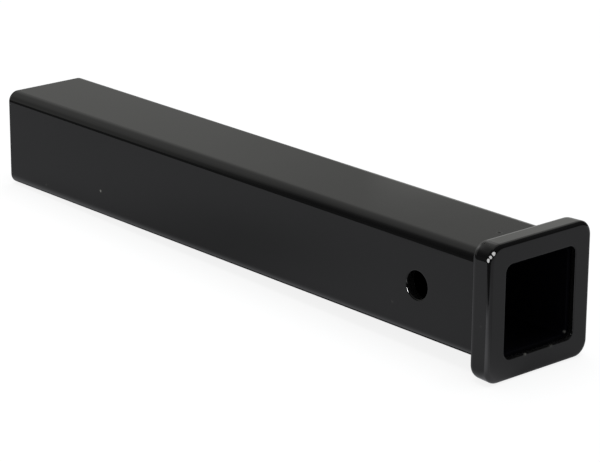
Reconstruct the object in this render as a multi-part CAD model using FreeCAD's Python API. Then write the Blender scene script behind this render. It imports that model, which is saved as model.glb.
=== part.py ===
"""Square receiver tube with a collar welded round its mouth.

The origin is where the pin hole's axis crosses the tube's axis. +X runs along the tube and out of its
mouth, the pin hole runs along Y and +Z is up. Lengths are in millimetres.
"""

import FreeCAD, Part
import math
import os

# Square tube
overall_length = 457.2       # from the collar's front to the tail, 18 in
tube_width = 63.5            # 2 1/2 in
tube_wall = 6.35             # 1/4 in, which leaves a 2 in bore
tube_corner_radius = 6.8
bore_corner_radius = 3.0
saw_cut_chamfer = 0.5        # deburred edges of the two sawn ends

# Pin hole
pin_setback = 65.1           # from the collar's front to the hole's axis
pin_hole_diameter = 16.7     # passes a 5/8 in pin
pin_hole_chamfer = 0.3

# Collar
collar_depth = 14.1
collar_wall = 8.3            # of the socket round the tube
collar_corner_radius = 8.8
collar_front_round = 2.6
collar_back_round = 2.0
lip_thickness = 4.0          # of the lip that the tube's end butts against
mouth_ledge = 2.2            # of the tube's end that shows inside the lip
mouth_edge_round = 0.6
socket_clearance = 0.2       # on each side, between the tube and its socket

# Weld bead behind the collar
weld_leg = 6.0
weld_crown = 0.7             # how far the bead's face bulges past a straight one

# Places and sizes that follow from those
front_x = pin_setback
tail_x = front_x - overall_length
tube_front_x = front_x - lip_thickness
collar_back_x = front_x - collar_depth
weld_toe_x = collar_back_x - weld_leg
bore_width = tube_width - 2 * tube_wall
mouth_width = bore_width + 2 * mouth_ledge
mouth_corner_radius = bore_corner_radius + mouth_ledge
socket_width = tube_width + 2 * socket_clearance
socket_corner_radius = tube_corner_radius + socket_clearance
collar_width = socket_width + 2 * collar_wall

ALONG_X = FreeCAD.Vector(1, 0, 0)
ORIGIN = FreeCAD.Vector(0, 0, 0)
SIDES = 4


def rounded_square(width, corner_radius, x):
    """Closed outline of a square with round corners, normal to the tube's axis at x."""
    half = width / 2
    straight = half - corner_radius
    diagonal = straight + corner_radius * math.sqrt(0.5)
    side_start = FreeCAD.Vector(x, -straight, half)
    side_end = FreeCAD.Vector(x, straight, half)
    corner_middle = FreeCAD.Vector(x, diagonal, diagonal)
    corner_end = FreeCAD.Vector(x, half, straight)
    side = Part.LineSegment(side_start, side_end).toShape()
    corner = Part.Arc(side_end, corner_middle, corner_end).toShape()
    edges = []
    for quarter in range(SIDES):
        turn = -360 * quarter / SIDES
        edges.append(side.rotated(ORIGIN, ALONG_X, turn))
        edges.append(corner.rotated(ORIGIN, ALONG_X, turn))
    return Part.Wire(edges)


def square_bar(width, corner_radius, from_x, to_x):
    """Solid bar with round corners along the tube's axis."""
    outline = rounded_square(width, corner_radius, from_x)
    return Part.Face(outline).extrude(ALONG_X * (to_x - from_x))


def edges_across(shape, x):
    """The edges of a shape that lie in the plane across the tube's axis at x."""
    reach = 1e-6
    return [
        edge for edge in shape.Edges
        if abs(edge.BoundBox.XMin - x) < reach and abs(edge.BoundBox.XMax - x) < reach
    ]


def pin_hole_rims(tube):
    """The circular edges of the pin hole on the tube's two outer sides."""
    reach = 1e-6
    return [
        edge for edge in tube.Edges
        if abs(abs(edge.CenterOfMass.y) - tube_width / 2) < reach
        and abs(edge.BoundBox.XLength - pin_hole_diameter) < reach
    ]


def make_receiver_tube():
    """Square tube with a pin hole through both sides, sawn square and deburred.

    The outside is split at the weld's toe, so that each side's bare stretch is a face of its own.
    """
    bare_stretch = square_bar(tube_width, tube_corner_radius, tail_x, weld_toe_x)
    covered_stretch = square_bar(tube_width, tube_corner_radius, weld_toe_x, tube_front_x)
    tube = bare_stretch.fuse(covered_stretch)
    bore = square_bar(bore_width, bore_corner_radius, tail_x, tube_front_x)
    tube = tube.cut(bore)
    tube = tube.makeChamfer(saw_cut_chamfer, edges_across(tube, tail_x))
    tube = tube.makeChamfer(saw_cut_chamfer, edges_across(tube, tube_front_x))
    drill_start = FreeCAD.Vector(0, -tube_width, 0)
    drill = Part.makeCylinder(pin_hole_diameter / 2, 2 * tube_width, drill_start, FreeCAD.Vector(0, 1, 0))
    tube = tube.cut(drill)
    return tube.makeChamfer(pin_hole_chamfer, pin_hole_rims(tube))


def make_collar():
    """Ring with round edges, a socket at the back for the tube's end and a lip in front of it."""
    collar = square_bar(collar_width, collar_corner_radius, collar_back_x, front_x)
    collar = collar.makeFillet(collar_front_round, edges_across(collar, front_x))
    collar = collar.makeFillet(collar_back_round, edges_across(collar, collar_back_x))
    mouth = square_bar(mouth_width, mouth_corner_radius, collar_back_x, front_x)
    mouth_rim = edges_across(mouth, front_x)
    collar = collar.cut(mouth)
    reach = 1e-6
    lip_edges = [
        edge for edge in edges_across(collar, front_x)
        if any(edge.CenterOfMass.distanceToPoint(rim.CenterOfMass) < reach for rim in mouth_rim)
    ]
    collar = collar.makeFillet(mouth_edge_round, lip_edges)
    socket = square_bar(socket_width, socket_corner_radius, collar_back_x, tube_front_x)
    return collar.cut(socket)


def make_collar_weld():
    """Fillet bead round the tube, in the corner between its sides and the collar's back."""
    toe = tube_width / 2
    root = FreeCAD.Vector(collar_back_x, -tube_width / 2 + tube_corner_radius, toe)
    on_collar = root + FreeCAD.Vector(0, 0, weld_leg)
    on_tube = root + FreeCAD.Vector(-weld_leg, 0, 0)
    bulge = FreeCAD.Vector(-weld_crown, 0, weld_crown) * math.sqrt(0.5)
    crown = (on_collar + on_tube) * 0.5 + bulge
    section = Part.Wire([
        Part.LineSegment(root, on_collar).toShape(),
        Part.Arc(on_collar, crown, on_tube).toShape(),
        Part.LineSegment(on_tube, root).toShape(),
    ])
    path = rounded_square(tube_width, tube_corner_radius, collar_back_x)
    return path.makePipeShell([section], True, True)


def main():
    """Make each piece and write it to a file of its own."""
    pieces = {
        "receiver_tube": make_receiver_tube(),
        "collar": make_collar(),
        "collar_weld": make_collar_weld(),
    }
    os.makedirs("parts", exist_ok=True)
    for name, shape in pieces.items():
        shape.exportStep(os.path.join("parts", name + ".step"))
        print(name, "valid", shape.isValid(), "solids", len(shape.Solids), "volume", round(shape.Volume, 1))


main()
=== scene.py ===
"""Looks of the receiver tube: black powder coat over steel, on a pale floor in soft studio light."""
import math

import bmesh
import bpy
import numpy as np
from mathutils import Matrix, Vector


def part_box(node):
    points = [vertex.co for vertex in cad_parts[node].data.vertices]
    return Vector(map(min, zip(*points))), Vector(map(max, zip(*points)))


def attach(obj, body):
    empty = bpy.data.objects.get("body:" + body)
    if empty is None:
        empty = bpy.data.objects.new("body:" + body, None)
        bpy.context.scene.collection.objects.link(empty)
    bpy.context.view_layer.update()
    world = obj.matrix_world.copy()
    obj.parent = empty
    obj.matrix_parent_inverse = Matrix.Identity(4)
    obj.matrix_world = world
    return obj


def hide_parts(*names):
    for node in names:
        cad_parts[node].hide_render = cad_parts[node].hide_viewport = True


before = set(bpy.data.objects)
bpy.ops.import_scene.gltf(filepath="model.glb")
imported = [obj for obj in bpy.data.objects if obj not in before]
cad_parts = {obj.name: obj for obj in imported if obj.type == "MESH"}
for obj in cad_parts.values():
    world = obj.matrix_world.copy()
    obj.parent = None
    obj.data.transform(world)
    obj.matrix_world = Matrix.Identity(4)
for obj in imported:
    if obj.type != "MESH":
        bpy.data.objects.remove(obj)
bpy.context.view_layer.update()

# Sizes of the real thing, in metres. What the boxes of the CAD nodes give is read from them.
MM = 0.001
tube_low, tube_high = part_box("receiver_tube")
collar_low, collar_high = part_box("collar")
weld_low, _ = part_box("collar_weld")
tail_x, tube_front_x = tube_low[0], tube_high[0]
collar_back_x, front_x = collar_low[0], collar_high[0]
weld_toe_x = weld_low[0]
tube_half = tube_high[1]
collar_half = collar_high[1]
tube_wall = 6.35 * MM
bore_half = tube_half - tube_wall
tube_corner_radius = 6.8 * MM
bore_corner_radius = 3.0 * MM
cut_edge_round = 0.5 * MM       # saw-cut ends, rounded over by the coat
bore_edge_round = 0.3 * MM
pin_hole_radius = 8.35 * MM
pin_hole_round = 0.9 * MM       # drilled edge, rounded over by the coat
collar_corner_radius = 8.8 * MM
collar_front_round = 2.6 * MM
collar_back_length = 3.5 * MM   # the back edge is rounded over a longer way along the tube ...
collar_back_drop = 1.2 * MM     # ... than it drops
collar_draft = 0.3 * MM         # how much the outside closes in from the front rounding to the back
lip_thickness = 4.0 * MM
mouth_half = 27.6 * MM
mouth_corner_radius = 5.2 * MM
mouth_edge_round = 0.6 * MM
socket_clearance = 0.2 * MM
weld_leg = collar_back_x - weld_toe_x
weld_crown = 0.7 * MM

# Two lumps of coat on the mouth's lower edge: place along y, spread and height of each.
coat_lumps = ((-10.6 * MM, 0.9 * MM, 0.45 * MM), (10.2 * MM, 1.5 * MM, 0.30 * MM))
lump_x = front_x - mouth_edge_round / 2
lump_z = -mouth_half - mouth_edge_round / 4

# Ripples of the weld
ripple_length = 2.6 * MM
ripple_sweep = 1.6 * MM         # how far a ripple's ends lag behind its middle
ripple_depth = 0.35 * MM
ripple_flatness = 0.6           # under 1, the tops are broad and the creases between them sharp
bead_wander = 0.25 * MM         # slow rise and fall of the crown along the bead
bead_wander_waves = 17
bead_wander_start = 1.0

# How finely the surfaces are divided
corner_steps = 12
round_steps = 5
collar_front_steps = 10
collar_back_steps = 15
window_steps = 18
mouth_steps = 110
bead_steps = 12
bead_corner_steps = 40
bead_side_steps = 160
far_rows = 6                    # rows on the plain stretch between the tail and the pin hole ...
far_from_tail = 60 * MM         # ... which start this far from the tail ...
far_from_window = 40 * MM       # ... and end this far from the window round the pin hole
ring_shares = (0.0, 0.25, 0.5, 0.75, 0.9, 0.97)     # of the way from that window's edge to the hole's rim
beside_edge = np.array([0.3, 0.7, 1.2, 1.8]) * MM   # rows kept beside the mouth's edge
support = 0.3 * MM              # flat margin kept beside each rounding, so that flats shade flat
doubles_reach = 0.002 * MM


# Shapes

def square_round(steps, side_shares):
    """Unit arrays A and B for a square with rounded corners, seen along the tube.

    A point is (half - radius) * A + radius * B. In a corner, A is the corner's signs and B turns through
    a quarter circle. On a side, A runs from one corner's signs to the next one's by the given shares, and
    B stays.
    """
    a_rows = []
    b_rows = []
    signs = np.array([[1, 1], [-1, 1], [-1, -1], [1, -1]], dtype=float)
    for quarter in range(4):
        angle = (quarter + np.linspace(0.0, 1.0, steps + 1)) * math.pi / 2
        turn = np.column_stack([np.cos(angle), np.sin(angle)])
        here = signs[quarter]
        following = signs[(quarter + 1) % 4]
        a_rows.append(np.repeat(here[None, :], steps + 1, axis=0))
        b_rows.append(turn)
        a_rows.append(here + side_shares[:, None] * (following - here))
        b_rows.append(np.repeat(turn[-1:], len(side_shares), axis=0))
    return np.vstack(a_rows), np.vstack(b_rows)


def carried_round(x, half, radius, a, b):
    """Carries a section round: row i is the rounded square of half[i] and radius[i] at x[i]."""
    flat = (half - radius)[:, None, None] * a + radius[:, None, None] * b
    along = np.broadcast_to(x[:, None, None], flat.shape[:2] + (1,))
    return np.concatenate([along, flat], axis=2)


def grid_quads(rows, columns, close_rows, close_columns, first=0):
    """Quads of a grid of points numbered from first; the last row or column may join the first one."""
    row = np.arange(rows if close_rows else rows - 1)
    column = np.arange(columns if close_columns else columns - 1)
    row, column = np.meshgrid(row, column, indexing="ij")
    next_row = (row + 1) % rows
    next_column = (column + 1) % columns
    corners = ((row, column), (row, next_column), (next_row, next_column), (next_row, column))
    return np.stack([i * columns + j for i, j in corners], axis=-1) + first


def oval_arc(x_centre, half_centre, along, drop, start, end, steps):
    """An oval rounding of the section, from one angle to the other in degrees.

    Its points are x_centre + along * cos(angle) and half_centre + drop * sin(angle).
    """
    angle = np.radians(np.linspace(start, end, steps + 1))
    return np.column_stack([x_centre + along * np.cos(angle), half_centre + drop * np.sin(angle)])


def arc(x_centre, half_centre, radius, start, end, steps=round_steps):
    """The same with one radius both ways."""
    return oval_arc(x_centre, half_centre, radius, radius, start, end, steps)


def row_at(x, half, wanted_x, wanted_half):
    """Number of the first row of a section that lies at the wanted place."""
    return int(np.argmax(np.isclose(x, wanted_x) & np.isclose(half, wanted_half)))


def make_piece(name, points, quads, node):
    """One closed mesh from arrays of points and quads, doubles merged, faces outward, smooth."""
    mesh = bpy.data.meshes.new(name)
    mesh.from_pydata(points.reshape(-1, 3), [], quads.reshape(-1, 4))
    work = bmesh.new()
    work.from_mesh(mesh)
    bmesh.ops.remove_doubles(work, verts=work.verts, dist=doubles_reach)
    bmesh.ops.recalc_face_normals(work, faces=work.faces)
    for face in work.faces:
        face.smooth = True
    work.to_mesh(mesh)
    work.free()
    piece = bpy.data.objects.new(name, mesh)
    bpy.context.scene.collection.objects.link(piece)
    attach(piece, "root")
    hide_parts(node)
    return piece


def corner_radius_between(half, half_a, radius_a, half_b, radius_b):
    """Corner radius that goes with a half width, in line between two known pairs."""
    return radius_a + (half - half_a) * (radius_b - radius_a) / (half_b - half_a)


def side_shares_for(steps):
    """Shares along a flat side: evenly spaced, plus one close to each end."""
    flat = 2 * (tube_half - tube_corner_radius)
    even = np.arange(1, steps) / steps
    return np.concatenate([[support / flat], even, [1 - support / flat]])


def rings_to_hole(window_edge, circle, surface, inward):
    """Rings from the window's edge on one surface of the wall, over the hole's quarter-round rim, and in.

    Inward is the way along y from that surface into the wall, 1 or -1.
    """
    rim = pin_hole_radius + pin_hole_round
    rings = [((1 - share) * window_edge + share * rim * circle, surface) for share in ring_shares]
    for angle in np.linspace(0.0, math.pi / 2, round_steps + 1):
        radius = rim - pin_hole_round * math.sin(angle)
        depth = pin_hole_round * (1 - math.cos(angle))
        rings.append((radius * circle, surface + inward * depth))
    rings.append((pin_hole_radius * circle, surface + inward * (pin_hole_round + support)))
    return [np.insert(outline, 1, y, axis=1) for outline, y in rings]


def window_patch(shares, side, window_x):
    """Wall round the pin hole: from the outer window's edge, over the rim, through, to the bore's window.

    A window is the square that is left open in the tube's side. Each ring goes once round it, and a
    point's angle on the hole's circle is that of the point on the square that it comes from.
    """
    window = window_x[-1]
    along = window_x / window
    across = 1 - 2 * np.concatenate([[0.0], shares, [1.0]])
    top = np.column_stack([along, np.ones(len(along))])[:-1]
    end = np.column_stack([np.ones(len(across)), across])[:-1]
    square = np.concatenate([top, end, -top, -end])
    circle = square / np.linalg.norm(square, axis=1)[:, None]
    outer_edge = square * np.array([window, tube_half - tube_corner_radius])
    inner_edge = square * np.array([window, bore_half - bore_corner_radius])
    outer = rings_to_hole(outer_edge, circle, tube_half, -1)
    inner = rings_to_hole(inner_edge, circle, bore_half, 1)
    patch = np.stack(outer + inner[::-1])
    patch[..., 1] *= side
    return patch


def tube_section(far_x, window_x):
    """Section of the tube's wall, a long thin loop: outside, front cut, bore and tail cut."""
    outer, inner = cut_edge_round, bore_edge_round
    outside_x = np.concatenate([
        [tail_x + outer + support], far_x, window_x, [tube_front_x - outer - support]])
    bore_x = np.concatenate([
        [tube_front_x - inner - support], window_x[::-1], far_x[::-1], [tail_x + inner + support]])
    return np.vstack([
        arc(tail_x + outer, tube_half - outer, outer, 180, 90),
        np.column_stack([outside_x, np.full(len(outside_x), tube_half)]),
        arc(tube_front_x - outer, tube_half - outer, outer, 90, 0),
        [[tube_front_x, tube_half - outer - support], [tube_front_x, bore_half + inner + support]],
        arc(tube_front_x - inner, bore_half + inner, inner, 0, -90),
        np.column_stack([bore_x, np.full(len(bore_x), bore_half)]),
        arc(tail_x + inner, bore_half + inner, inner, 270, 180),
        [[tail_x, bore_half + inner + support], [tail_x, tube_half - outer - support]]])


def make_tube():
    """The square tube: its section carried round, with windows left open for the pin hole."""
    shares = side_shares_for(window_steps)
    a, b = square_round(corner_steps, shares)
    window = tube_half - tube_corner_radius
    window_x = np.linspace(-window, window, window_steps + 1)
    far_x = np.linspace(tail_x + far_from_tail, -window - far_from_window, far_rows)
    x, half = tube_section(far_x, window_x).T
    radius = corner_radius_between(half, bore_half, bore_corner_radius, tube_half, tube_corner_radius)
    points = carried_round(x, half, radius, a, b)
    quads = grid_quads(len(x), len(a), True, True)
    quarter = corner_steps + 1 + len(shares)
    near_side = quarter + corner_steps
    keep = np.ones(quads.shape[:2], dtype=bool)
    for row in (row_at(x, half, -window, tube_half), row_at(x, half, window, bore_half)):
        for column in (near_side, near_side + 2 * quarter):
            keep[row:row + window_steps, column:column + len(shares) + 1] = False
    all_points = [points.reshape(-1, 3)]
    all_quads = [quads[keep]]
    for side in (-1, 1):
        first = sum(len(part) for part in all_points)
        patch = window_patch(shares, side, window_x)
        all_points.append(patch.reshape(-1, 3))
        all_quads.append(grid_quads(*patch.shape[:2], False, True, first).reshape(-1, 4))
    points, quads = np.vstack(all_points), np.vstack(all_quads)
    return make_piece("tube_coated", points, quads, "receiver_tube")


def collar_section():
    """Section of the collar: back, outside, front rounding, face, mouth's edge, lip and socket."""
    front, edge = collar_front_round, mouth_edge_round
    back, drop = collar_back_length, collar_back_drop
    lip_back_x = front_x - lip_thickness
    socket_half = tube_half + socket_clearance
    back_half = collar_half - collar_draft
    rise = support * collar_draft / (front_x - front - collar_back_x - back)
    return np.vstack([
        oval_arc(collar_back_x + back, back_half - drop, back, drop, 180, 90, collar_back_steps),
        [[collar_back_x + back + support, back_half + rise],
         [front_x - front - support, collar_half - rise]],
        arc(front_x - front, collar_half - front, front, 90, 0, collar_front_steps),
        [[front_x, collar_half - front - support]],
        np.column_stack([np.full(len(beside_edge), front_x), mouth_half + edge + beside_edge[::-1]]),
        arc(front_x - edge, mouth_half + edge, edge, 0, -90),
        np.column_stack([front_x - edge - beside_edge, np.full(len(beside_edge), mouth_half)]),
        [[lip_back_x, mouth_half], [lip_back_x, socket_half], [collar_back_x, socket_half],
         [collar_back_x, back_half - drop - support]]])


def make_collar():
    """The collar: its section carried round the mouth.

    Near a lump of coat, points rise by height * exp(-(away / spread)^2).
    """
    a, b = square_round(corner_steps, side_shares_for(mouth_steps))
    x, half = collar_section().T
    radius = corner_radius_between(
        half, mouth_half, mouth_corner_radius, collar_half, collar_corner_radius)
    points = carried_round(x, half, radius, a, b)
    for lump_y, spread, height in coat_lumps:
        away = (points - [lump_x, lump_y, lump_z]) / spread
        points[..., 2] += height * np.exp(-np.sum(away ** 2, axis=2))
    quads = grid_quads(len(x), len(a), True, True)
    return make_piece("collar_coated", points, quads, "collar")


def make_weld():
    """The fillet weld behind the collar: a crowned bead with ripples.

    The bead's face goes from its toe on the tube to its toe on the collar by shares across it, and bulges
    by 4 * share * (1 - share) of the crown. A ripple is a shallow wave along the bead, swept back towards
    the toes as the puddle freezes.
    """
    across = np.linspace(0.0, 1.0, bead_steps + 1)
    a, b = square_round(bead_corner_steps, np.arange(1, bead_side_steps) / bead_side_steps)
    reach = weld_leg * across
    points = carried_round(weld_toe_x + reach, tube_half + reach, tube_corner_radius + reach, a, b)
    middle = points[len(across) // 2]
    steps = np.linalg.norm(np.roll(middle, -1, axis=0) - middle, axis=1)
    total = steps.sum()
    run = np.concatenate([[0.0], np.cumsum(steps)[:-1]])
    ripple_count = round(total / ripple_length)
    swept = run[None, :] + ripple_sweep * (2 * across[:, None] - 1) ** 2
    ripple = np.abs(np.sin(math.pi * swept * ripple_count / total)) ** ripple_flatness
    wander = bead_wander * np.sin(2 * math.pi * run / total * bead_wander_waves + bead_wander_start)
    crown = 4 * across * (1 - across)
    bulge = crown[:, None] * (weld_crown - ripple_depth + ripple_depth * ripple + wander[None, :])
    points[..., 1:] += (b * math.sqrt(0.5))[None, :, :] * bulge[:, :, None]
    points[..., 0] -= math.sqrt(0.5) * bulge
    root = carried_round(*np.array([[collar_back_x], [tube_half], [tube_corner_radius]]), a, b)
    points = np.concatenate([points, root])
    quads = grid_quads(len(points), len(a), True, True)
    return make_piece("weld_bead", points, quads, "collar_weld")


# Nodes

def linear(hex_colour):
    """Linear colour of an sRGB hex value."""
    channels = np.array([int(hex_colour[k:k + 2], 16) for k in (1, 3, 5)]) / 255
    straight = np.where(channels <= 0.04045, channels / 12.92, ((channels + 0.055) / 1.055) ** 2.4)
    return (*straight, 1.0)


def add(tree, kind, inputs=None, **settings):
    """Adds a node; inputs are plain values, or the sockets that feed them."""
    made = tree.nodes.new(kind)
    for name, value in settings.items():
        setattr(made, name, value)
    for name, value in (inputs or {}).items():
        if isinstance(value, bpy.types.NodeSocket):
            tree.links.new(value, made.inputs[name])
        else:
            made.inputs[name].default_value = value
    return made


def calculate(tree, operation, *values):
    """One step of arithmetic on plain values and sockets."""
    return add(tree, "ShaderNodeMath", dict(enumerate(values)), operation=operation).outputs[0]


def times(tree, one, other):
    return calculate(tree, "MULTIPLY", one, other)


def plus(tree, one, other):
    return calculate(tree, "ADD", one, other)


def fade_in(tree, value, low, high):
    """0 below low, 1 above high, and a smooth rise between."""
    return add(tree, "ShaderNodeMapRange", {
        "Value": value, "From Min": low, "From Max": high},
        interpolation_type="SMOOTHSTEP").outputs["Result"]


def soft_spot(tree, place, middle, spread):
    """A spot that fades smoothly: 1 in the middle, 1/e at the spread away, given for x, y and z."""
    away = add(tree, "ShaderNodeVectorMath", {0: place, 1: middle}, operation="SUBTRACT").outputs[0]
    share = add(tree, "ShaderNodeVectorMath", {0: away, 1: spread}, operation="DIVIDE").outputs[0]
    square = add(tree, "ShaderNodeVectorMath", {0: share, 1: share}, operation="DOT_PRODUCT")
    return calculate(tree, "EXPONENT", times(tree, square.outputs["Value"], -1.0))


def round_spot(tree, place, middle, spread):
    return soft_spot(tree, place, middle, (spread, spread, spread))


def new_tree(material):
    material.use_nodes = True
    material.node_tree.nodes.clear()
    return material.node_tree


# Finishes

def cloudy(tree, place, size, dark, pale):
    """Faint clouds that change one colour into another. Gives their share and the colour."""
    clouds = add(tree, "ShaderNodeTexNoise", {
        "Vector": place, "Scale": 1 / size, "Detail": cloud_detail}).outputs["Fac"]
    colour = add(tree, "ShaderNodeMix", {
        "Factor": clouds, "A": linear(dark), "B": linear(pale)}, data_type="RGBA").outputs["Result"]
    return clouds, colour


def with_dust_and_glints(tree, place, colour, dust_and_glints):
    """Adds pale specks to a colour, dust and painted glints; each has a middle, a spread and how pale it
    is.
    """
    for middle, spread, share in dust_and_glints:
        speck = times(tree, round_spot(tree, place, middle, spread), share)
        colour = add(tree, "ShaderNodeMix", {
            "Factor": speck, "A": colour, "B": linear(dust_and_glint_colour)}, data_type="RGBA").outputs["Result"]
    return colour


def semi_gloss_black_powder_coat(name, dust_and_glints=(), pits=()):
    """Polyester powder coat, baked: a deep black that mirrors the room with slightly soft edges.

    A fine orange peel breaks up what it mirrors, faint clouds change its gloss a little, and pale specks
    are dust and painted glints. In a pit, given like a speck, the coat is rough and mirrors next to
    nothing.
    """
    material = bpy.data.materials.new(name)
    tree = new_tree(material)
    place = add(tree, "ShaderNodeTexCoord").outputs["Object"]
    clouds, colour = cloudy(tree, place, coat_cloud_size, coat_dark, coat_pale)
    # Pale specks: dust, and painted glints.
    colour = with_dust_and_glints(tree, place, colour, dust_and_glints)
    rough = add(tree, "ShaderNodeMapRange", {
        "Value": clouds, "To Min": coat_smoothest, "To Max": coat_roughest}).outputs["Result"]
    for middle, spread, share in pits:
        rough = plus(tree, rough, times(tree, round_spot(tree, place, middle, spread), share))
    peel = add(tree, "ShaderNodeTexNoise", {
        "Vector": place, "Scale": 1 / peel_size, "Detail": peel_detail})
    bump = add(tree, "ShaderNodeBump", {
        "Height": peel.outputs["Fac"], "Strength": 1.0, "Distance": peel_depth})
    coat = add(tree, "ShaderNodeBsdfPrincipled", {
        "Base Color": colour, "Roughness": rough,
        "IOR": coat_ior, "Normal": bump.outputs["Normal"]})
    add(tree, "ShaderNodeOutputMaterial", {"Surface": coat.outputs["BSDF"]})
    return material


def dull_black_inside(name, dust_and_glints=()):
    """Thin dull overspray in the bore, where the powder barely reaches: near black, hardly a gleam."""
    material = bpy.data.materials.new(name)
    tree = new_tree(material)
    place = add(tree, "ShaderNodeTexCoord").outputs["Object"]
    _, colour = cloudy(tree, place, film_cloud_size, film_dark, film_pale)
    # The specks given here are painted glints.
    film = add(tree, "ShaderNodeBsdfPrincipled", {
        "Base Color": with_dust_and_glints(tree, place, colour, dust_and_glints),
        "Roughness": film_roughness, "IOR": coat_ior, "Specular IOR Level": film_gloss})
    add(tree, "ShaderNodeOutputMaterial", {"Surface": film.outputs["BSDF"]})
    return material


def dress_inside(piece, finish):
    """Gives the bore and the tube's front cut, deep in the mouth, their own finish."""
    piece.data.materials.append(finish)
    margin = bore_edge_round / 2
    for face in piece.data.polygons:
        middle = face.center
        in_bore = max(abs(middle.y), abs(middle.z)) < bore_half + margin
        on_front_cut = middle.x > tube_front_x - margin
        face.material_index = 1 if in_bore or on_front_cut else 0


# Studio

def make_camera():
    """A camera that stands where the photo's did, as the outlines in it tell."""
    place, aim = Vector(camera_place) * MM, Vector(camera_aim) * MM
    data = bpy.data.cameras.new("camera")
    data.sensor_width = camera_sensor
    data.lens = camera_lens
    camera = bpy.data.objects.new("camera", data)
    roll = Matrix.Rotation(math.radians(camera_roll), 3, "Z")
    turn = (aim - place).to_track_quat("-Z", "Y").to_matrix() @ roll
    camera.matrix_world = Matrix.Translation(place) @ turn.to_4x4()
    bpy.context.scene.collection.objects.link(camera)
    bpy.context.scene.camera = camera


def unsampled_material(name):
    """A new material and its empty tree; its glow is met by chance and not aimed at like a lamp."""
    material = bpy.data.materials.new(name)
    material.cycles.emission_sampling = "NONE"
    return material, new_tree(material)


def even_glow(name, level):
    """A material of one even light."""
    material, tree = unsampled_material(name)
    light = add(tree, "ShaderNodeEmission", {"Color": (1, 1, 1, 1), "Strength": level})
    add(tree, "ShaderNodeOutputMaterial", {"Surface": light.outputs[0]})
    return material


def stage_mesh(name, points, faces, material, seen_by_all=True):
    """A piece of the studio.

    One that isn't seen by all shows only in what is mirrored, and casts no shadow.
    """
    mesh = bpy.data.meshes.new(name)
    mesh.from_pydata(points, [], faces)
    mesh.materials.append(material)
    thing = bpy.data.objects.new(name, mesh)
    bpy.context.scene.collection.objects.link(thing)
    if not seen_by_all:
        thing.visible_camera = False
        thing.visible_diffuse = False
        thing.visible_transmission = False
        thing.visible_shadow = False
    return thing


def stage_sheet(name, outline, material, seen_by_all=True):
    """A flat piece of the studio, from the points round it."""
    return stage_mesh(name, outline, [tuple(range(len(outline)))], material, seen_by_all)


def rectangle(low, high):
    """The four corners of a rectangle, from its low and its high one."""
    return [(low[0], low[1]), (high[0], low[1]), (high[0], high[1]), (low[0], high[1])]


def floor_height(x):
    """The floor touches the tail's and the collar's bottom edges, so it leans a little along the tube."""
    slope = (collar_low[2] - tube_low[2]) / (collar_back_x - tail_x)
    return tube_low[2] + slope * (x - tail_x)


def on_floor(outline, lift):
    """Points of an outline in x and y, laid on the floor or lifted off it by a hair."""
    return [(x, y, floor_height(x) + lift) for x, y in outline]


def mirrored_floor_level(tree):
    """Light that the floor sends into mirrored rays.

    It changes evenly along the tube and is lower in front of the collar, with pools of light by the
    collar's corner, a paler line along the tube, a dip beside its middle, and a painted shadow where the
    part stands.
    """
    place = add(tree, "ShaderNodeTexCoord").outputs["Object"]
    apart = add(tree, "ShaderNodeSeparateXYZ", {0: place})
    x, y = apart.outputs["X"], apart.outputs["Y"]
    level = add(tree, "ShaderNodeMapRange", {
        "Value": x, "From Min": floor_far_x, "From Max": floor_near_x,
        "To Min": floor_mirrored_far, "To Max": floor_mirrored_near}).outputs["Result"]
    level = plus(tree, level, times(tree, fade_in(tree, x, *floor_drop_x), -floor_mirrored_drop))
    leaning = calculate(tree, "MULTIPLY_ADD", y, -pool_edge_slope, x)
    inside = fade_in(tree, leaning, pool_edge - pool_edge_soft, pool_edge + pool_edge_soft)
    for middle, spread, glow in pools:
        pool = times(tree, soft_spot(tree, place, middle, spread), inside)
        level = plus(tree, level, times(tree, pool, glow))
    line = soft_spot(tree, place, (0.0, -tube_half, 0.0), (endless, line_spread, endless))
    level = plus(tree, level, times(tree, line, line_glow))
    dip = soft_spot(tree, place, dip_middle, dip_spread)
    level = plus(tree, level, times(tree, dip, -dip_depth))
    # Painted shadow under the part: the level falls to nothing inside its outline.
    off_side = fade_in(tree, calculate(tree, "ABSOLUTE", y), *contact_shadow_side)
    off_front = fade_in(tree, x, *contact_shadow_front)
    return times(tree, level, calculate(tree, "MAXIMUM", off_side, off_front))


def make_floor():
    """A plain pale floor: white to the camera, but for the part's shadow, and plain grey to the part."""
    material, tree = unsampled_material("pale_floor")
    ray = add(tree, "ShaderNodeLightPath")
    paper = add(tree, "ShaderNodeBsdfDiffuse", {"Color": (*floor_colour, 1.0)})
    seen = times(tree, ray.outputs["Is Camera Ray"], floor_white)
    mirrored = times(tree, ray.outputs["Is Glossy Ray"], mirrored_floor_level(tree))
    white = add(tree, "ShaderNodeEmission", {"Color": (1, 1, 1, 1), "Strength": seen})
    grey = add(tree, "ShaderNodeEmission", {"Color": (*floor_tint, 1), "Strength": mirrored})
    both = add(tree, "ShaderNodeAddShader", {0: white.outputs[0], 1: grey.outputs[0]})
    whole = add(tree, "ShaderNodeAddShader", {0: paper.outputs[0], 1: both.outputs[0]})
    add(tree, "ShaderNodeOutputMaterial", {"Surface": whole.outputs[0]})
    outline = rectangle((-floor_reach, -floor_reach), (floor_reach, floor_reach))
    stage_sheet("floor", on_floor(outline, 0.0), material)


def make_black_cloth():
    """Black velvet on the floor in front, mirrored in the tube's long rounding and the collar's front."""
    velvet = even_glow("black_velvet", velvet_level)
    near_corners = ((-dome_radius, -dome_radius), (dome_radius, -dome_radius))
    right_end = (dome_radius, cloth_edge[0][1])
    left_end = (-dome_radius, cloth_edge[-1][1])
    outline = on_floor((*near_corners, right_end, *cloth_edge, left_end), cloth_lift)
    stage_sheet("black_cloth_on_floor", outline, velvet, seen_by_all=False)


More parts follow.
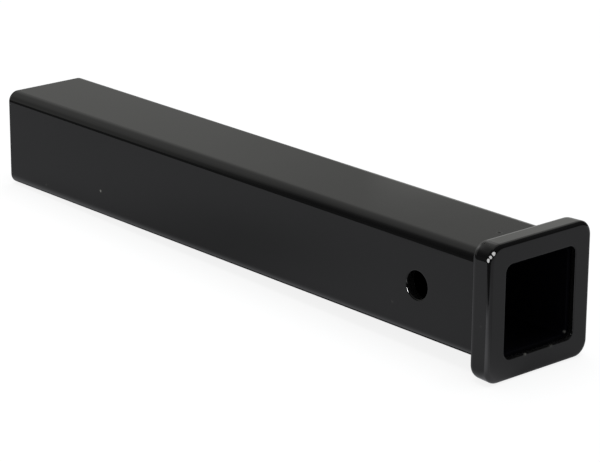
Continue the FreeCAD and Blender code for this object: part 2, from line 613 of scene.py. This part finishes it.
def make_flag():
    """A small black flag that stands just above the collar's front corner.

    It keeps the glint lamps off the tops behind it. The camera doesn't see it, and it is as dark as the
    tent's dark zone.
    """
    outline = [(flag_x, y, z) for y, z in rectangle(flag_low, flag_high)]
    flag = stage_sheet("black_flag", outline, even_glow("black_flag", dark_level), seen_by_all=False)
    flag.visible_shadow = True


def small_card(name, middle, aim, spread, level, cover):
    """A small card close to the collar's corner, painted on the side towards its aim.

    It shows only where the rounded corner mirrors it, and its paint fades to clear outwards. Cover is how
    much of what is behind it the paint hides in its middle.
    """
    material, tree = unsampled_material(name)
    place = add(tree, "ShaderNodeTexCoord").outputs["Object"]
    painted = add(tree, "ShaderNodeNewGeometry").outputs["Backfacing"]
    hidden = times(tree, times(tree, round_spot(tree, place, middle, spread), cover), painted)
    light = add(tree, "ShaderNodeEmission", {"Color": (1, 1, 1, 1), "Strength": level})
    clear = add(tree, "ShaderNodeBsdfTransparent")
    both = add(tree, "ShaderNodeMixShader", {0: hidden, 1: clear.outputs[0], 2: light.outputs[0]})
    add(tree, "ShaderNodeOutputMaterial", {"Surface": both.outputs[0]})
    middle = Vector(middle)
    facing = (middle - Vector(aim)).normalized()
    across = Vector((-facing.y, facing.x, 0.0)).normalized() * spread * card_reach
    upward = facing.cross(across)
    outline = [middle + i * across + j * upward for i, j in ((1, 1), (-1, 1), (-1, -1), (1, -1))]
    stage_sheet(name, outline, material, seen_by_all=False)


def smooth_step(value, low, high):
    """0 below low, 1 above high, and a smooth rise between."""
    share = np.clip((value - low) / (high - low), 0.0, 1.0)
    return share * share * (3 - 2 * share)


def step_at(value, edge, soft):
    """A smooth rise from 0 to 1 round an edge, within the soft width on either side."""
    return smooth_step(value, edge - soft, edge + soft)


def band(value, low, high, soft):
    """1 between low and high, fading to 0 outside within the soft width."""
    return step_at(value, low, soft) * (1 - step_at(value, high, soft))


def beside_camera(room, turned, elevation):
    """The tent's wall on the left: paler, then from a leaning edge on a grey that pales upwards.

    Azimuth is given here from 0 to 360, as turned.
    """
    fade = 1 - step_at(elevation, wall_top, wall_top_soft)
    paler = wall_glow * smooth_step(turned, *wall_side) * smooth_step(elevation, *wall_rise) * fade
    edge = np.interp(elevation, *np.transpose(grey_edge))
    grey_level = np.clip(grey_slope * (elevation - grey_from), dark_level, None)
    grey = step_at(turned, edge, grey_edge_soft) * fade
    return (room + paler) * (1 - grey) + np.minimum(grey_level, room) * grey


def dome_level(azimuth, elevation):
    """Light of the tent by direction, in degrees.

    It is paler low down, with pale panels behind the part and a dark zone behind the camera.
    """
    room = room_low - room_fall * np.clip(elevation, 0.0, room_rise_from)
    room = room + room_rise * smooth_step(elevation, room_rise_from, room_rise_to)
    room = beside_camera(room, azimuth % 360.0, elevation)
    for low_azimuth, high_azimuth, high_elevation, soft, glow in pale_panels:
        across = band(azimuth, low_azimuth, high_azimuth, soft)
        room = room + glow * across * (1 - step_at(elevation, high_elevation, soft))
    left = dark_left - dark_lean * np.maximum(elevation - dark_lean_from, 0.0)
    dark = band(azimuth, left, dark_right, dark_side_soft)
    dark = dark * (1 - step_at(elevation, dark_top, dark_top_soft))
    return np.maximum(room, 0.0) * (1 - dark) + dark_level * dark


def make_dome():
    """The light tent round the part, that shows only in what is mirrored."""
    material, tree = unsampled_material("light_tent")
    level = add(tree, "ShaderNodeAttribute", attribute_name="level")
    glow = add(tree, "ShaderNodeEmission", {"Color": (*room_tint, 1), "Strength": level.outputs["Fac"]})
    add(tree, "ShaderNodeOutputMaterial", {"Surface": glow.outputs[0]})
    azimuth = np.linspace(-180.0, 180.0, dome_columns)
    elevation = np.linspace(dome_bottom, 90.0, dome_rows)
    azimuth, elevation = np.meshgrid(azimuth, elevation, indexing="ij")
    a, e = np.radians(azimuth), np.radians(elevation)
    points = dome_radius * np.stack([np.cos(a) * np.cos(e), np.sin(a) * np.cos(e), np.sin(e)], axis=-1)
    points = points.reshape(-1, 3).tolist()
    faces = grid_quads(*azimuth.shape, False, False).reshape(-1, 4).tolist()
    dome = stage_mesh("light_tent", points, faces, material, seen_by_all=False)
    values = dome.data.attributes.new("level", "FLOAT", "POINT")
    values.data.foreach_set("value", dome_level(azimuth, elevation).ravel())


def make_world():
    """Pale room: white to the camera, a plain grey level to the part."""
    world = bpy.data.worlds.new("studio")
    bpy.context.scene.world = world
    world.use_nodes = True
    world.cycles.sampling_method = "NONE"
    tree = world.node_tree
    tree.nodes.clear()
    ray = add(tree, "ShaderNodeLightPath")
    room = add(tree, "ShaderNodeBackground", {"Color": (*room_colour, 1), "Strength": 1.0})
    white = add(tree, "ShaderNodeBackground", {"Color": (1, 1, 1, 1), "Strength": 1.0})
    pick = add(tree, "ShaderNodeMixShader", {
        0: ray.outputs["Is Camera Ray"], 1: room.outputs[0], 2: white.outputs[0]})
    add(tree, "ShaderNodeOutputWorld", {"Surface": pick.outputs[0]})


def place_lamp(data, place, turn):
    """Puts a lamp in the scene at a place, turned by a matrix; the camera doesn't see it."""
    lamp = bpy.data.objects.new(data.name, data)
    lamp.matrix_world = Matrix.Translation(place) @ turn.to_4x4()
    lamp.visible_camera = False
    bpy.context.scene.collection.objects.link(lamp)
    return lamp


def make_softbox():
    """A square softbox overhead: it lights the coat and the floor, but isn't itself mirrored."""
    data = bpy.data.lights.new("overhead_softbox", "AREA")
    data.shape = "SQUARE"
    data.size = softbox_side
    data.energy = softbox_watts
    place, aim = Vector(softbox_place), Vector(softbox_aim)
    turn = (aim - place).to_track_quat("-Z", "Y").to_matrix()
    place_lamp(data, place, turn).visible_glossy = False


def glint_lamp(name, place, aim, lean, long, short, radiance, spread):
    """A small oval lamp close to the part, that only shows as a glint.

    Its long way leans from level by degrees, and its light stays within the spread. The power for a wanted
    radiance ahead is worked out from the lamp's area and from how its light thins out towards the edge of
    the spread.
    """
    place, aim = Vector(place) * MM, Vector(aim) * MM
    away = (place - aim).normalized()
    level = Vector((-away.y, away.x, 0.0)).normalized()
    upward = away.cross(level)
    turn = math.radians(lean)
    long_way = math.cos(turn) * level + math.sin(turn) * upward
    half_spread = math.radians(spread) / 2
    thinning = 1 - half_spread / math.tan(half_spread)
    data = bpy.data.lights.new(name, "AREA")
    data.shape = "ELLIPSE"
    data.size = long * MM
    data.size_y = short * MM
    data.spread = math.radians(spread)
    data.energy = radiance * thinning * math.pi * (math.pi / 4) * data.size * data.size_y
    facing = Matrix((long_way, away.cross(long_way), away)).transposed()
    place_lamp(data, place, facing).visible_diffuse = False


# Camera: place and aim in mm, roll in degrees, sensor and lens in mm
camera_place = (974.4, -983.92, 477.2)
camera_aim = (-130.94, -3.3, -6.68)
camera_roll = 0.356
camera_sensor = 36.0
camera_lens = 154.197

# Room and light tent: azimuth and elevation in degrees, light in linear radiance
room_colour = (0.37, 0.372, 0.352)
room_tint = (1.0, 1.004, 0.965)
room_low = 0.356
room_fall = 0.0039              # for each degree upwards
room_rise = 0.080
room_rise_from = 18.0
room_rise_to = 30.0
# Low and high azimuth, high elevation, soft width and glow of each panel.
pale_panels = (
    (80.0, 137.0, 16.9, 0.5, 0.285),
    (100.0, 129.0, 40.0, 2.0, 0.08),
    (141.0, 170.0, 30.0, 4.0, 0.045))
wall_glow = 0.055
wall_side = (176.0, 192.0)      # azimuths over which that glow comes in ...
wall_rise = (13.0, 30.0)        # ... and elevations
wall_top = 52.0
wall_top_soft = 6.0
# Elevation and azimuth of points on the edge where the wall's grey begins.
grey_edge = (
    (10.0, 221.0), (23.0, 217.0), (34.0, 208.0), (38.0, 201.5), (41.0, 193.5), (43.0, 183.0))
grey_edge_soft = 2.5
grey_from = 12.0
grey_slope = 0.011
dark_left = -139.6
dark_lean = 0.3
dark_lean_from = 20.0
dark_right = 101.0
dark_side_soft = 7.5
dark_top = 66.0
dark_top_soft = 9.0
dark_level = 0.03
dome_radius = 3.0
dome_bottom = -3.0
dome_columns = 241
dome_rows = 94

# Floor, in metres and linear radiance
floor_reach = 8.0
floor_colour = (0.20, 0.203, 0.21)
floor_white = 0.86
floor_tint = (0.985, 0.985, 1.03)
floor_far_x = -0.45
floor_near_x = -0.03
floor_mirrored_far = 0.195
floor_mirrored_near = 0.262
floor_drop_x = (0.02, 0.10)
floor_mirrored_drop = 0.048
# The painted shadow that the part stands on ends between these distances from its axis, and between these
# x.
contact_shadow_side = (0.027, 0.0315)
contact_shadow_front = (0.058, 0.068)
# Middle, spread and glow of each pool of light.
pools = (
    ((0.068, -0.095, 0.0), (0.068, 0.055, 1.0), 0.97),
    ((0.060, -0.145, 0.0), (0.055, 0.016, 1.0), 0.52),
    ((0.150, -0.134, 0.0), (0.030, 0.022, 1.0), 0.20),
    ((0.215, -0.110, 0.0), (0.035, 0.040, 1.0), 0.13))
# The pools are lit only in front of a slanting line, where x - slope * y is the edge.
pool_edge = 0.0765
pool_edge_slope = 0.50
pool_edge_soft = 0.005
line_spread = 0.009
line_glow = 0.16
endless = 10.0                  # a spread far beyond the part
dip_middle = (-0.212, -0.07, 0.0)
dip_spread = (0.09, 0.06, 1.0)
dip_depth = 0.115

# Cloth, flag and small cards, in metres and linear radiance
cloth_lift = 1 * MM
cloth_edge = (
    (0.60, -0.280), (0.22, -0.172), (0.14, -0.152), (0.03, -0.200), (-0.12, -0.190), (-0.42, -0.168))
velvet_level = 0.055
flag_x = 0.0655
flag_low = (-0.070, 0.0407)
flag_high = (-0.012, 0.060)
card_reach = 2.2                # half a card's side, in spreads
# Name, middle, aim, spread, level and cover.
small_cards = (
    ("pale_card_above", (0.0342, -0.0146, 0.0535), (0.0560, -0.0330, 0.0395), 0.0058, 1.5, 0.24),
    ("pale_card_beside", (0.0424, -0.0380, 0.0430), (0.0530, -0.0370, 0.0378), 0.0042, 1.5, 0.95),
    ("dark_card_beside", (0.0445, -0.0425, 0.0515), (0.0580, -0.0370, 0.0380), 0.0080, 0.03, 0.55))

# Lamps: the softbox in metres and watts
softbox_place = (-0.2, 0.2, 2.0)
softbox_aim = (-0.16, 0.0, 0.0)
softbox_side = 1.6
softbox_watts = 24
# Name, place and aim in mm, lean in degrees, length and width in mm, radiance, spread in degrees.
glint_lamps = (
    ("lamp_left", (60.9, -53.2, 32.0), (63.0, -40.1, 32.8), 5.0, 20.5, 7.6, 13.0, 140.0),
    ("lamp_middle", (70.1, -48.8, 38.3), (64.1, -39.1, 34.7), -12.0, 21.0, 5.4, 13.0, 140.0),
    ("lamp_right", (75.9, -40.2, 42.4), (64.6, -37.3, 36.4), -39.0, 22.5, 5.7, 13.0, 140.0),
    ("lamp_rim", (-10.7, -121.4, 1.5), (-7.5, -31.7, -4.7), 0.0, 21.0, 21.0, 180.0, 20.0))

# Finishes: the coat outside, and the film of overspray inside
coat_ior = 1.5
coat_dark = "#141415"
coat_pale = "#1a1a1b"
coat_smoothest = 0.06
coat_roughest = 0.085
coat_cloud_size = 30 * MM
cloud_detail = 2.0
peel_size = 1.8 * MM
peel_detail = 1.0
peel_depth = 0.004 * MM
film_dark = "#08080d"
film_pale = "#0e0e15"
film_cloud_size = 12 * MM
film_roughness = 0.5
film_gloss = 0.05
# Colour of the pale specks: dust, and painted glints.
dust_and_glint_colour = "#dcdcd8"
# Middle, spread and share of each pale speck (dust and painted glints) and of each pit.
# Pale specks on the tube's side: dust, and painted glints where tiny lumps in the coat catch the light.
tube_dust_and_glints = (
    ((-0.2925, -tube_half, -0.0138), 0.66 * MM, 1.0),
    ((-0.3520, -tube_half, -0.0235), 0.60 * MM, 0.10),
    ((-0.0195, -tube_half, -0.0150), 0.80 * MM, 0.07))
tube_pits = (((0.0311, 0.0013, tube_half), 1.1 * MM, 0.9),)
# A painted glint at the bore's lower corner, by the tube's front cut.
bore_painted_glint = (((0.0607, bore_half, -0.0244), 0.65 * MM, 0.45),)
# Pale specks on the collar: a faint one on its side, and painted glints on the two lumps of coat at the
# mouth's lower edge.
collar_dust_and_glints = (
    ((0.0590, -collar_half, -0.0062), 0.80 * MM, 0.04),
    ((front_x, coat_lumps[0][0], -mouth_half), 0.90 * MM, 0.20),
    ((front_x, coat_lumps[1][0], -mouth_half), 1.20 * MM, 0.07))

# The part
tube_finish = semi_gloss_black_powder_coat("black_powder_coat_tube", tube_dust_and_glints, tube_pits)
collar_finish = semi_gloss_black_powder_coat("black_powder_coat_collar", collar_dust_and_glints)
weld_finish = semi_gloss_black_powder_coat("black_powder_coat_weld")
inside_finish = dull_black_inside("thin_overspray_bore", bore_painted_glint)
tube = make_tube()
tube.data.materials.append(tube_finish)
dress_inside(tube, inside_finish)
make_collar().data.materials.append(collar_finish)
make_weld().data.materials.append(weld_finish)

# The studio round it
make_camera()
make_floor()
make_black_cloth()
make_flag()
for card in small_cards:
    small_card(*card)
make_dome()
make_world()
make_softbox()
for glint in glint_lamps:
    glint_lamp(*glint)

bpy.context.scene.view_settings.view_transform = "Standard"
